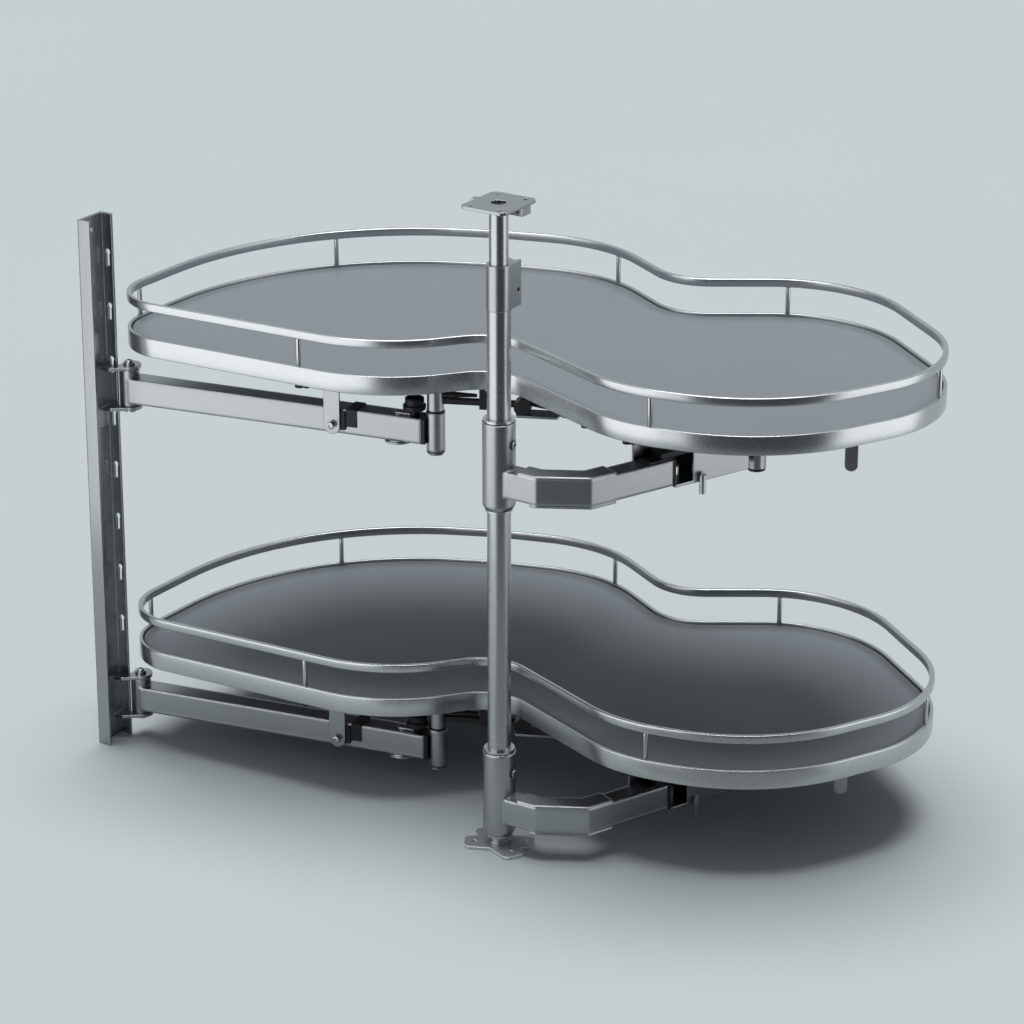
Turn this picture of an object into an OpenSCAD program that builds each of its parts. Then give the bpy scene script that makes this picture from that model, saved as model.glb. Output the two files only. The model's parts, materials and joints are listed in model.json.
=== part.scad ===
// Swing-out corner cabinet fitting: two kidney-shaped trays carried by arms on a column and on a wall rail.
// Millimetres. The column axis stands at X = Y = 0 on the cabinet floor, +X to the right, +Y into the cabinet.

/* [View] */
// Piece to draw, or all of them

/* [Column] */
// Outer diameter of the lower tube
column_d = 25; // [22:1:28]
// Wall of both tubes
tube_wall = 2; // [1.5:0.25:2.5]
// Height of the upper face of the top plate
column_h = 718; // [700:1:760]
// Bare length of the upper tube between the clamp and the top plate
tube_show = 62; // [50:1:90]
// Height of the clamp on the telescoping tube
clamp_h = 48; // [36:1:56]
// Reach of the clamp's block behind the column axis
clamp_reach = 28; // [24:1:34]

/* [Plates] */
// Distance between the floor plate's holes along the cabinet front
floor_hole_x = 46; // [44:1:54]
// Distance between the floor plate's holes into the cabinet
floor_hole_y = 28; // [26:1:34]
// Reach of each lobe of the floor plate past its hole
floor_lobe_r = 11; // [9:0.5:13]
// Thickness of the floor plate
floor_plate_t = 4; // [3:0.5:6]
// Width of the top plate
top_plate_x = 54; // [50:1:70]
// Depth of the top plate
top_plate_y = 64; // [60:1:80]
// Thickness of the top plate
top_plate_t = 3; // [2:0.5:4]
// Screw holes in both plates
plate_hole_d = 5.2; // [4.5:0.1:6]

/* [Wall rail] */
// Height of the wall rail
rail_h = 622; // [600:1:660]
// Depth of the wall rail's web
rail_w = 40; // [38:1:44]
// Width of its two flanges
rail_flange = 16; // [15:0.5:16]
// Sheet thickness of the rail
rail_t = 2.5; // [2:0.25:3]
// Pitch of the keyhole slots
key_pitch = 62; // [56:1:64]
// Number of keyhole slots
key_count = 8; // [6:1:9]
// Height of a keyhole slot
key_h = 20; // [16:1:24]

/* [Trays] */
// Height from one tray to the other
tray_pitch = 372; // [340:1:380]
// Height of the tray's side band
band_h = 21; // [18:1:28]
// Thickness of the side band
band_t = 4; // [3:0.5:5]
// Thickness of the tray panel
panel_t = 8.5; // [8:0.5:10]
// How far the panel lies below the band's upper edge
panel_recess = 2.5; // [1.5:0.5:4]
// Open height between the band and the guard rail
guard_gap = 31; // [24:1:45]
// Height of the guard rail's bar
guard_h = 9.5; // [8:0.5:12]
// Thickness of the guard rail's bar
guard_t = 5.5; // [5:0.5:7]
// Diameter of the rods that carry the guard rail
post_d = 4.5; // [4:0.5:5]

/* [Arms] */
// Height of the arms' square tube
arm_h = 28; // [24:1:30]
// Width of the arms' square tube
arm_w = 24; // [22:1:26]
// Wall of the arms' square tube
arm_wall = 2; // [1.5:0.25:3]
// Distance from the tray's lower edge down to the arms' upper face
arm_drop = 40.5; // [38:0.5:44]
// Straight length of the post arm before it bends
arm_lead = 49; // [46:1:56]
// Angle of the post arm's middle piece
arm_bend = 29; // [25:1:33]
// Length of the post arm's middle piece
arm_mid = 50; // [44:1:54]
// Length of the square tube after the second bend
arm_run = 102; // [90:1:110]
// Thickness of the cover plates over the bend
gusset_t = 3; // [2:0.5:4]
// Outer diameter of the sleeve that turns on the column
sleeve_d = 35; // [33:1:38]
// Height of the sleeve
sleeve_h = 96; // [90:1:100]
// Outer diameter of the pivot barrels
barrel_d = 20.5; // [19:0.5:21]
// Diameter of the hinge pins
pin_d = 8; // [6:0.5:9]
// Outer diameter of the knuckle at the wall rail
knuckle_d = 23; // [21:0.5:23]
// Thickness of the hinge ears and of the catch strap
ear_t = 3.5; // [3:0.5:4]

/* [Fits] */
// Radial clearance of a pin in its bore
pin_fit = 0.05; // [0.03:0.01:0.09]
// Running gap between faces that turn past each other
run_gap = 0.3; // [0.25:0.05:0.5]
// Sliding gap between the two column tubes, on the radius
slide_gap = 0.5; // [0.3:0.1:0.7]
// Gap between the lower sleeve and the column's foot
foot_gap = 0.4; // [0.3:0.1:1]
// Vertical gap at the linkage's opened pivot
open_gap = 0.5; // [0.4:0.1:0.8]

/* [Hidden] */
$fn = 64;
eps = 0.01;

// The outline is a belt round discs: [x, y, radius], turning left round a positive radius, right round a negative.
discs = [
    [146, 250, 207], [220, 259, 145], [154, 307, 148],                 // right lobe
    [-12, 451, -63],                                                  // waist at the back
    [-171, 286, 160], [-135, 48, 398], [-187, 110, 320],              // left lobe
    [-442, 50, 66], [-240, 161, 162],                                 // corner by the rail, front bulge
    [-55, 46, -54], [136, 200, 160]                                   // waist at the column, front of the right lobe
];
arc_step = 4.5;
posts = [[0, -88], [1, 10], [2, 114], [4, 72], [6, 140], [7, 184], [8, 264]]; // [disc, angle] of each rod

clips = [[-259, 7, 7, -4], [30, 83, 19, -24], [63, 68, 4, -22], [124, 50, 5, -12]];     // stops under the band's inner ledge

rail_pivot = [-498, 14];      // hinge of the guide arm at the wall rail
guide_pivot = [-138, 87];     // hinge of the tray on the guide arm
post_pivot = [176, 230];      // the tray's seat on the post arm: the linkage is opened here
rail_x = -523;                // outer face of the wall rail's web
rail_y = -34;                 // front face of the wall rail
key_z = 137;

panel_z = band_h - panel_recess - panel_t;      // under side of the panel above the tray's lower edge
strap_w = 18.7;
strap_t = 2.5;
pad_t = 2.7;
catch_s = 252.6;                                // along the guide arm from the rail hinge
damper_a = 24.5;
link_z = -23;                                 // lower face of the damper's link bar
roller_h = 6.5;
link_t = 5.5;
arm_top = -arm_drop;
arm_bot = -arm_drop - arm_h;
ear_hi = arm_top + 10.5;                        // under side of the upper ear
ear_lo = arm_bot - 5;                           // upper side of the lower ear
ear_r = 13.5;
barrel_bot = arm_bot - 8.5;
barrel_top = arm_top + 7.5;
ring_t = 1.6;
ledge_w = 6;
ledge_t = 3;
pivot_plate_t = 4;
sleeve_top = 10;
sleeve_bot = sleeve_top - sleeve_h;
bush_h = 3.5;
bush_wall = 4;
neck_top = floor_plate_t + 9.5;
inner_d = column_d - 2 * tube_wall - 2 * slide_gap;
clamp_z = column_h - top_plate_t - tube_show - clamp_h;
bush_low = bush_h * 0.6;                        // lower bush, under the sleeve
tray_z_lower = neck_top + foot_gap + bush_low - sleeve_bot;
tray_z_upper = tray_z_lower + tray_pitch;
floor_hole_a = atan2(floor_hole_y, floor_hole_x);
floor_hole_r = norm([floor_hole_x, floor_hole_y]) / 2;
lug_x = 4;
lug_y = 12;
lug_h = 12;
overlap = 60;                                   // length of the upper tube inside the lower one
cap_t = 2.5;                                    // black end of the guide arm, between tube and barrel
notch_l = 26;                                   // opening in the guide arm's upper face, filled by the cap
knob_s = 24.5;                                    // from the guide pivot back to the knob
knob_r = 12.6;
link_l = 110;
hanger_at = [290, 227];
hanger_a = 30;

guide_v = guide_pivot - rail_pivot;
guide_a = atan2(guide_v[1], guide_v[0]);
guide_l = norm(guide_v);
bend_1 = [arm_lead, 0];
bend_2 = bend_1 + arm_mid * [cos(arm_bend), sin(arm_bend)];
run_v = post_pivot - bend_2;
run_a = atan2(run_v[1], run_v[0]);
run_l = norm(run_v);

function heading(p, q) = atan2(q[1] - p[1], q[0] - p[0])
    - asin((q[2] - p[2]) / norm([q[0] - p[0], q[1] - p[1]]));
function turn(a) = a - 360 * floor((a + 180) / 360);
function outline(out) = [
    for (i = [0 : len(discs) - 1])
        let (c = discs[i], n = len(discs),
             a0 = heading(discs[(i + n - 1) % n], c),
             da = turn(heading(c, discs[(i + 1) % n]) - a0),
             k = max(2, ceil(abs(da) / arc_step)),
             r = c[2] + out)
            for (j = [0 : k])
                [c[0] + r * sin(a0 + da * j / k), c[1] - r * cos(a0 + da * j / k)]
];
function on_disc(p, out) = let (c = discs[p[0]])
    [c[0] + (c[2] + out) * cos(p[1]), c[1] + (c[2] + out) * sin(p[1])];

steel = "#9aa1a6";
chrome = "#c4cacd";
black = "#1c1e20";
panel_grey = "#858c92";

// ---- shared forms

module ring(r_out, r_in, h) {
    difference() {
        cylinder(r = r_out, h = h);
        translate([0, 0, -1]) cylinder(r = r_in, h = h + 2);
    }
}

module slab(out, z, h) {
    translate([0, 0, z]) linear_extrude(h) polygon(outline(out));
}

module hoop(out, t, z, h) {
    translate([0, 0, z]) linear_extrude(h) difference() {
        polygon(outline(out));
        polygon(outline(out - t));
    }
}

// The post arm seen from above: straight out of the sleeve, then two mitred bends towards the tray's seat.
function mitre(a, b) = [cos((a + b) / 2 + 90), sin((a + b) / 2 + 90)] / cos((b - a) / 2);
module bent_plan(w, from, to) {
    far = bend_2 + to * [cos(run_a), sin(run_a)];
    side = [
        [[from, 0], mitre(0, 0)], [bend_1, mitre(0, arm_bend)],
        [bend_2, mitre(arm_bend, run_a)], [far, mitre(run_a, run_a)]
    ];
    polygon([
        for (k = [0 : 3]) side[k][0] - w / 2 * side[k][1],
        for (k = [3 : -1 : 0]) side[k][0] + w / 2 * side[k][1]
    ]);
}

module along_run(s, side) {
    translate(bend_2) rotate(run_a) translate([s, side]) children();
}

module at(p, z) {
    translate([p[0], p[1], z]) children();
}

// ---- column and plates

module floor_plate() color(steel) difference() {
    linear_extrude(floor_plate_t) {
        circle(r = 17);
        for (a = [1, -1], b = [0, 180]) rotate(b + a * floor_hole_a) polygon([
            [0, -17], [floor_hole_r - 4, -14], [floor_hole_r + floor_lobe_r - 4, -12.5],
            [floor_hole_r + floor_lobe_r, -8.5], [floor_hole_r + floor_lobe_r, 8.5],
            [floor_hole_r + floor_lobe_r - 4, 12.5], [floor_hole_r - 4, 14], [0, 17]
        ]);
    }
    for (x = [-1, 1], y = [-1, 1]) translate([x * floor_hole_x / 2, y * floor_hole_y / 2, -1])
        cylinder(d = plate_hole_d, h = floor_plate_t + 2);
}

module column_foot() color(steel) translate([0, 0, floor_plate_t]) {
    cylinder(r = 11, h = 3);
    translate([0, 0, 3]) cylinder(r = 9.3, h = neck_top - floor_plate_t - 3);
    translate([0, 0, neck_top - floor_plate_t - eps]) cylinder(r = column_d / 2 - tube_wall - 0.1, h = 25);
}

module column_tube() color(chrome) translate([0, 0, neck_top])
    ring(column_d / 2, column_d / 2 - tube_wall, clamp_z - neck_top);

module column_inner_tube() color(chrome) translate([0, 0, clamp_z - overlap])
    ring(inner_d / 2, inner_d / 2 - tube_wall, column_h - top_plate_t - clamp_z + overlap);

module height_clamp() color(steel) translate([0, 0, clamp_z]) difference() {
    union() {
        cylinder(d = column_d + 1, h = clamp_h);
        translate([-11, 0, 0]) cube([22, clamp_reach - 3, clamp_h]);
        translate([-8, clamp_reach - 3 - eps, 0]) cube([16, 3 + eps, clamp_h]);
    }
    translate([0, 0, -1]) cylinder(d = inner_d, h = clamp_h + 2);
    translate([0, inner_d / 2, clamp_h + 12]) rotate([-90, 0, 0]) cylinder(r = 14.5, h = clamp_reach);
    translate([3, clamp_reach - 8, clamp_h * 0.36]) rotate([0, 90, 0]) cylinder(r = 2.5, h = 12);
}

module clamp_screw() color(black) translate([3, clamp_reach - 8, clamp_z + clamp_h * 0.36])
    rotate([0, 90, 0]) difference() {
        cylinder(r = 2.5, h = 7);
        translate([0, 0, 4]) cylinder(r = 1.4, h = 4, $fn = 6);
    }

module top_plate() color(steel) translate([0, 0, column_h - top_plate_t]) {
    difference() {
        linear_extrude(top_plate_t) difference() {
            polygon([
                [-top_plate_x / 2, -top_plate_y / 2 + 5], [-top_plate_x / 2 + 5, -top_plate_y / 2],
                [top_plate_x / 2 - 5, -top_plate_y / 2], [top_plate_x / 2, -top_plate_y / 2 + 5],
                [top_plate_x / 2, top_plate_y / 2 - 5], [top_plate_x / 2 - 5, top_plate_y / 2],
                [-top_plate_x / 2 + 5, top_plate_y / 2], [-top_plate_x / 2, top_plate_y / 2 - 5]
            ]);
            circle(r = inner_d / 2 - tube_wall);
        }
        for (x = [-1, 1], y = [-1, 1])
            translate([x * (top_plate_x / 2 - 10), y * (top_plate_y / 2 - 8), -1])
                cylinder(d = plate_hole_d, h = top_plate_t + 2);
    }
    // folded lug under the right rear quarter, open to the left, with a square window in its front
    difference() {
        translate([lug_x, lug_y, -lug_h]) cube([top_plate_x / 2 - 6 - lug_x, 15, lug_h + eps]);
        translate([lug_x - 1, lug_y + 2, -lug_h + 2]) cube([top_plate_x / 2 - 7 - lug_x, 11, lug_h]);
        translate([lug_x + 6, lug_y - 1, -lug_h + 3.5]) cube([6.5, 4, 6.5]);
        translate([top_plate_x / 2 - 6, lug_y - 1, -lug_h]) rotate([0, 45, 0]) cube([5, 17, 5], center = false);
    }
    translate([-top_plate_x / 2 - 5, -4, 0]) cube([5 + eps, 9, top_plate_t]);
}

// ---- wall rail with its two hinge brackets

module keyhole() {
    rotate([-90, 0, 0]) {
        translate([0, 0, -3]) cylinder(d = 6.4, h = rail_t + 6);
        translate([-2.1, 0, -3]) cube([4.2, key_h - 5.3, rail_t + 6]);
        translate([0, key_h - 5.3, -3]) cylinder(d = 4.2, h = rail_t + 6);
    }
}

module wall_rail() color(steel) difference() {
    translate([rail_x, rail_y, 0]) difference() {
        cube([rail_flange, rail_w, rail_h]);
        translate([rail_t, rail_t, -1]) cube([rail_flange, rail_w - 2 * rail_t, rail_h + 2]);
    }
    for (i = [0 : key_count - 1])
        translate([rail_x + rail_flange / 2 + 1.5, rail_y + rail_w - rail_t, key_z + i * key_pitch + key_h / 2 - 3.2])
            keyhole();
    for (z = [16, rail_h - 16])
        translate([rail_x - 1, rail_y + rail_w / 2, z]) rotate([0, 90, 0]) cylinder(d = plate_hole_d, h = rail_t + 2);
}

module ear_plan() {
    x_in = rail_x + rail_t;
    x_tip = rail_x + rail_flange;
    y_in = rail_y + rail_w - rail_t;
    difference() {
        union() {
            polygon([
                [x_in, y_in - 16], [x_tip, y_in - 13.5], rail_pivot + ear_r * [0.48, -0.877], rail_pivot,
                rail_pivot + ear_r * [-0.27, 0.963], [x_in, y_in]
            ]);
            translate(rail_pivot) circle(r = ear_r);
        }
        translate([x_in - 10, y_in]) square([x_tip - x_in + 10 + run_gap, 40]);
    }
}

module rail_bracket(z0) color(steel) {
    x_in = rail_x + rail_t;
    y_in = rail_y + rail_w - rail_t;
    difference() {
        union() {
            for (z = [ear_hi, ear_lo - ear_t]) translate([0, 0, z0 + z]) linear_extrude(ear_t) ear_plan();
            translate([x_in, y_in - 22, z0 + ear_lo - ear_t - 20])
                cube([2.5, 22, ear_hi - ear_lo + 2 * ear_t + 20]);
        }
        at(rail_pivot, z0 + ear_lo - 10) cylinder(r = pin_d / 2, h = ear_hi - ear_lo + 30);
    }
}

module rail_pin(z0) color(chrome) at(rail_pivot, z0) {
    translate([0, 0, ear_lo - ear_t - 1]) cylinder(d = pin_d, h = ear_hi - ear_lo + 2 * ear_t + 2);
    translate([0, 0, ear_hi + ear_t]) cylinder(r = 6.5, h = 3.2);
    translate([0, 0, ear_lo - ear_t - 4]) cylinder(r = 6.5, h = 4);
}

// ---- guide arm, from the wall rail to the tray

module guide_arm(z0) color(steel) translate([0, 0, z0]) difference() {
    union() {
        translate([rail_pivot[0], rail_pivot[1], arm_bot]) rotate(guide_a) difference() {
            translate([3, -arm_w / 2, 0]) cube([guide_l - barrel_d / 2 - cap_t - 3, arm_w, arm_h]);
            translate([knuckle_d / 2, -arm_w / 2 + arm_wall, arm_wall])
                cube([guide_l, arm_w - 2 * arm_wall, arm_h - 2 * arm_wall]);
            translate([guide_l - barrel_d / 2 - cap_t - notch_l, -arm_w / 2 + arm_wall, arm_wall])
                cube([guide_l, arm_w - 2 * arm_wall, arm_h]);
        }
        at(rail_pivot, ear_lo + run_gap) cylinder(d = knuckle_d, h = ear_hi - ear_lo - 2 * run_gap);
        at(guide_pivot, barrel_bot) cylinder(d = barrel_d, h = barrel_top - barrel_bot);
    }
    at(rail_pivot, ear_lo - 5) cylinder(r = pin_d / 2 + pin_fit, h = ear_hi - ear_lo + 10);
    at(guide_pivot, barrel_bot - 1) cylinder(r = pin_d / 2 + pin_fit, h = barrel_top - barrel_bot + 2);
}

module guide_cap(z0) color(black) translate([rail_pivot[0], rail_pivot[1], z0 + arm_bot]) rotate(guide_a)
    difference() {
        union() {
            translate([guide_l - barrel_d / 2 - cap_t, -arm_w / 2, 0]) cube([cap_t + 2, arm_w, arm_h]);
            translate([guide_l - barrel_d / 2 - cap_t - notch_l, -arm_w / 2 + arm_wall, arm_wall])
                cube([notch_l + eps, arm_w - 2 * arm_wall, arm_h - 2 * arm_wall]);
            translate([guide_l - barrel_d / 2 - cap_t - notch_l + 2, -arm_w / 2 + arm_wall, arm_h - 5])
                cube([notch_l - 2 + eps, arm_w - 2 * arm_wall, 5]);
        }
        translate([guide_l, 0, -1]) cylinder(d = barrel_d, h = arm_h + 2);
    }

module guide_ring(z0) color(black) {
    at(guide_pivot, z0 + barrel_top) ring(barrel_d / 2 - 0.5, pin_d / 2 + 0.3, ring_t);
    at(guide_pivot, z0 + barrel_bot - ring_t) cylinder(r = barrel_d / 2 - 0.4, h = ring_t);
}

module guide_knob(z0) color(black) translate([rail_pivot[0], rail_pivot[1], z0 + arm_top]) rotate(guide_a)
    translate([guide_l - knob_s, 0, 0]) {
        cylinder(r = 5.6, h = 6.6);
        translate([0, 0, 6.5]) cylinder(r1 = knob_r - 1.5, r2 = knob_r, h = 1.2);
        translate([0, 0, 7.7]) cylinder(r = knob_r, h = 4);
        translate([0, 0, 11.7]) cylinder(r1 = knob_r, r2 = knob_r - 1.2, h = 1);
        difference() {
            translate([0, 0, 12.6]) cylinder(r = knob_r - 2.2, h = 7);
            translate([0, 0, 14.5]) cylinder(r = knob_r - 5.2, h = 8);
            translate([4, -4, 16]) cube([12, 8, 6]);
        }
        translate([0, 0, 14.4]) cylinder(r = 3.6, h = 3);
    }

module guide_foot(z0) color(steel) translate([rail_pivot[0], rail_pivot[1], z0 + arm_bot - 3]) rotate(guide_a) {
    translate([guide_l - 43, 0, 0]) {
        cylinder(r = 16, h = 2);
        translate([0, 0, 2]) cylinder(r = 13, h = 1);
    }
    difference() {
        union() {
            translate([guide_l - knob_s - 19, -5, arm_h + 3]) cube([19, 10, 2.4]);
            translate([guide_l - knob_s - 19, 0, arm_h + 3]) cylinder(r = 5, h = 2.4);
        }
        translate([guide_l - knob_s, 0, arm_h + 2]) cylinder(r = 5.6, h = 5);
    }
    translate([guide_l, 0, barrel_bot - ring_t - 2.4 - arm_bot + 3])
        cylinder(r1 = barrel_d / 2 - 1.6, r2 = barrel_d / 2 - 0.2, h = 2.4);
}

// ---- post arm, from the column to under the right lobe

module post_arm(z0) color(steel) translate([0, 0, z0]) difference() {
    union() {
        translate([0, 0, sleeve_bot + 5]) cylinder(d = sleeve_d, h = sleeve_h - 5);
        translate([0, 0, sleeve_bot]) cylinder(d1 = sleeve_d - 6, d2 = sleeve_d, h = 5);
        translate([0, 0, arm_bot]) linear_extrude(arm_h) bent_plan(arm_w, sleeve_d / 4, arm_run);
        translate([0, 0, arm_top]) linear_extrude(gusset_t) bent_plan(arm_w - 1, sleeve_d / 2 + 12, 28);
        translate([0, 0, arm_bot - 1]) linear_extrude(1 + eps) bent_plan(arm_w - 7, arm_lead - 2, 25);
        translate([0, 0, arm_bot - gusset_t]) linear_extrude(gusset_t - 1) bent_plan(arm_w, arm_lead - 4, 28);
    }
    translate([0, 0, arm_bot + arm_wall]) linear_extrude(arm_h - 2 * arm_wall)
        bent_plan(arm_w - 2 * arm_wall, sleeve_d / 2 + 2, arm_run + 1);
    translate([0, 0, sleeve_bot - 1]) cylinder(r = column_d / 2 + run_gap, h = sleeve_h + 2);
    translate([sleeve_d / 2 - 1.5, 0, sleeve_top - 23]) rotate([0, 90, 0]) cylinder(r = 5, h = 4);
}

module post_bush(z0) color(chrome) {
    translate([0, 0, z0 + sleeve_top]) ring(column_d / 2 + bush_wall, column_d / 2 + pin_fit, bush_h);
    translate([0, 0, z0 + sleeve_bot - bush_low])
        ring(column_d / 2 + 2, column_d / 2 + pin_fit, bush_low);
}

module post_screw(z0) color(black) translate([sleeve_d / 2 - 1.5, 0, z0 + sleeve_top - 23]) rotate([0, 90, 0])
    difference() {
        cylinder(r = 5, h = 2.2);
        translate([0, 0, 1]) cylinder(r = 2.2, h = 2, $fn = 6);
    }

module post_cap(z0) color(black) translate([0, 0, z0]) along_run(arm_run, 0) {
    translate([0, -arm_w / 2 - 0.8, arm_bot - 0.8]) cube([2.5, arm_w + 1.6, arm_h + 1.6]);
    translate([-12, -arm_w / 2 + arm_wall, arm_bot + arm_wall])
        cube([12 + eps, arm_w - 2 * arm_wall, arm_h - 2 * arm_wall]);
    translate([-30, -arm_w / 2 + 2, arm_top]) cube([32, arm_w - 4, 3]);
    translate([-14, -arm_w / 2 + 3, arm_top + 3]) cube([38, arm_w - 6, 6]);
}

module post_bracket(z0) color(steel) translate([0, 0, z0]) difference() {
    along_run(0, 0) {
        translate([arm_run + 2.5, -arm_w / 2, arm_bot - 3]) cube([run_l - arm_run - 2.5 - barrel_d, arm_w, 3]);
        translate([arm_run + 26, -arm_w / 2, arm_bot - 3]) cube([run_l - arm_run - 26 - barrel_d, 2.5, arm_h + 33]);
        translate([arm_run - 34, arm_w / 2 + 1, arm_bot + 8]) cube([run_l - arm_run + 34, 2.5, arm_h + 22]);
        translate([arm_run + 26, -arm_w / 2, arm_bot + arm_h + 27.5])
            cube([run_l - arm_run - 26, arm_w + 3.5, 2.5]);
        translate([arm_run + 24, arm_w / 2 - 1, arm_bot - 3]) cube([run_l - arm_run - 24, 2 + eps, 14]);
    }
    at(post_pivot, arm_bot - 10) cylinder(d = barrel_d, h = 90);
}

module post_barrel(z0) {
    color(steel) at(post_pivot, z0 + barrel_bot)
        cylinder(d = barrel_d, h = panel_z - pivot_plate_t - open_gap - barrel_bot);
    color(black) at(post_pivot, z0 + barrel_bot - 3) cylinder(r = barrel_d / 2 - 0.6, h = 3);
}

module post_lever(z0) color(chrome) translate([0, 0, z0]) along_run(arm_run + 35, -arm_w / 2 - 4) {
    translate([0, 0, arm_bot - 15]) cylinder(r = 3.6, h = 16);
    translate([-2, 0, arm_bot + 1]) cube([4, 4, 7]);
    translate([0, 0, arm_bot + 1]) cylinder(r = 4, h = 5);
}

// ---- tray

module band(z0) color(chrome) {
    hoop(0, band_t, z0, band_h);
    hoop(-band_t + eps, ledge_w, z0 + panel_z - ledge_t, ledge_t);
}

module panel(z0) color(panel_grey) slab(-band_t, z0 + panel_z, panel_t);

module guard_rail(z0) color(chrome) hoop(0, guard_t, z0 + band_h + guard_gap, guard_h);

module rail_posts(z0) color(chrome) for (p = posts)
    at(on_disc(p, -guard_t / 2), z0 + band_h) cylinder(d = min(post_d, band_t), h = guard_gap, $fn = 24);

module tray_pivot(z0) color(steel) {
    bot = barrel_top + ring_t + run_gap;
    at(guide_pivot, z0 + bot) cylinder(d = barrel_d - 2, h = panel_z - pivot_plate_t - bot);
    at(guide_pivot, z0 + panel_z - pivot_plate_t) cylinder(r = 25, h = pivot_plate_t);
    at(guide_pivot, z0 + barrel_bot + 0.5) cylinder(r = pin_d / 2, h = bot - barrel_bot);
}

module tray_seat(z0) color(steel) {
    at(post_pivot, z0 + panel_z - pivot_plate_t) difference() {
        rotate(run_a) translate([-36, -32, 0]) cube([72, 64, pivot_plate_t]);
        for (a = [45 : 90 : 315]) rotate(run_a + a) translate([38, 0, -1]) cylinder(d = 5, h = pivot_plate_t + 2);
    }
    // thin carrier under the damper
    by_damper(z0) difference() {
        translate([link_l - 22, -11, link_z - roller_h - 2.5]) cube([54, 22, 2.5]);
        translate([link_l + 22, -12, link_z - roller_h - 3]) rotate(-18) cube([30, 12, 4]);
    }
}

// Hangs from the tray in front of the guide arm; its pad rests against the arm while the tray is closed.
module by_catch(z0) {
    translate([rail_pivot[0], rail_pivot[1], z0]) rotate(guide_a)
        translate([catch_s, -arm_w / 2 - run_gap - pad_t - strap_t, 0]) children();
}

module catch_strap(z0) color(chrome) by_catch(z0) {
    difference() {
        union() {
            translate([-strap_w / 2, 0, arm_bot + strap_w / 2])
                cube([strap_w, strap_t, panel_z - arm_bot - strap_w / 2]);
            translate([0, strap_t, arm_bot + strap_w / 2]) rotate([90, 0, 0]) cylinder(d = strap_w, h = strap_t);
        }
        translate([0, 5, arm_bot + 11]) rotate([90, 0, 0]) cylinder(d = 4, h = 8);
    }
    translate([-strap_w / 2, -14, panel_z - strap_t]) cube([strap_w, 14 + eps, strap_t]);
}

module catch_pad(z0) color(black) by_catch(z0) {
    translate([-strap_w / 2 + 3, strap_t, arm_bot + 5]) cube([strap_w + 2, pad_t, 21]);
    translate([0, strap_t, arm_bot + 11]) rotate([90, 0, 0]) cylinder(d = 4, h = strap_t + 1);
}

// The damper's link runs back from the guide pivot to its housing under the panel.
module by_damper(z0) {
    at(guide_pivot, z0) rotate(damper_a) children();
}

module damper_bar(z0) color(black) by_damper(z0) difference() {
    union() {
        translate([0, -4, link_z]) cube([link_l - 24, 8, link_t]);
        translate([0, 5, 0]) rotate([90, 0, 0]) linear_extrude(10) polygon([
            [48, link_z - 4], [60, link_z - 4], [60, link_z + link_t + 3], [54, link_z + link_t + 9],
            [54, panel_z], [48, panel_z]
        ]);
        // slim release lever over the link
        translate([0, 0, link_z + link_t + 3]) linear_extrude(3)
            polygon([[0, -5], [20, -5], [45, -1.5], [45, 1.5], [20, 5], [0, 5]]);
    }
    translate([0, 0, -90]) cylinder(d = barrel_d - 2, h = 180);
}

module damper_body(z0) color(black) by_damper(z0) {
    translate([link_l - 14, -9, link_z + 8]) cube([34, 18, panel_z - link_z - 8]);
    translate([link_l, 10, link_z]) rotate([90, 0, 0]) linear_extrude(20) polygon([
        [-24, link_t], [-24, -1], [-21, 1 - roller_h], [-17, -roller_h], [-11, -roller_h], [-7, 3 - roller_h],
        [-6, 2], [-6, 9], [-8.5, 11], [-13, 11.8], [-18, 10], [-22, 7]
    ]);
    translate([link_l, 4, link_z]) rotate([90, 0, 0]) linear_extrude(8)
        polygon([[-6.5, 2.5], [-6.5, 9], [6, 9], [27, -0.6], [26, -2.8]]);
}

module hanger(z0) color(steel) at(hanger_at, z0) rotate(hanger_a) {
    translate([-7, -1.5, arm_bot + 18]) cube([14, 3, panel_z - arm_bot - 18]);
    translate([0, 1.5, arm_bot + 18]) rotate([90, 0, 0]) cylinder(r = 7, h = 3);
    translate([-7, -1.5, panel_z - 3]) cube([14, 24, 3]);
    translate([7 - eps, 1.5, 0]) rotate([90, 0, 0]) linear_extrude(3)
        polygon([[0, -22], [0, panel_z], [-0.01 + 18, panel_z], [18, -6]]);
}

module edge_clips(z0) color(black) for (c = clips) {
    p = [c[0], c[1]];
    at(p, z0 - 5) cylinder(r = 5, h = 5 + panel_z - ledge_t);
    at(p, z0 - 4) rotate(c[3]) translate([5 + run_gap, -2.5, 0]) cube([c[2], 7, 4 + panel_z - ledge_t]);
}

floor_plate();
column_foot();
column_tube();
column_inner_tube();
height_clamp();
clamp_screw();
top_plate();
wall_rail();
rail_bracket(tray_z_upper);  // rail_bracket_upper
rail_bracket(tray_z_lower);  // rail_bracket_lower
rail_pin(tray_z_upper);  // rail_pin_upper
rail_pin(tray_z_lower);  // rail_pin_lower
guide_arm(tray_z_upper);  // guide_arm_upper
guide_arm(tray_z_lower);  // guide_arm_lower
guide_cap(tray_z_upper);  // guide_cap_upper
guide_cap(tray_z_lower);  // guide_cap_lower
guide_ring(tray_z_upper);  // guide_ring_upper
guide_ring(tray_z_lower);  // guide_ring_lower
guide_knob(tray_z_upper);  // guide_knob_upper
guide_knob(tray_z_lower);  // guide_knob_lower
guide_foot(tray_z_upper);  // guide_foot_upper
guide_foot(tray_z_lower);  // guide_foot_lower
post_arm(tray_z_upper);  // post_arm_upper
post_arm(tray_z_lower);  // post_arm_lower
post_bush(tray_z_upper);  // post_bush_upper
post_bush(tray_z_lower);  // post_bush_lower
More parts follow.
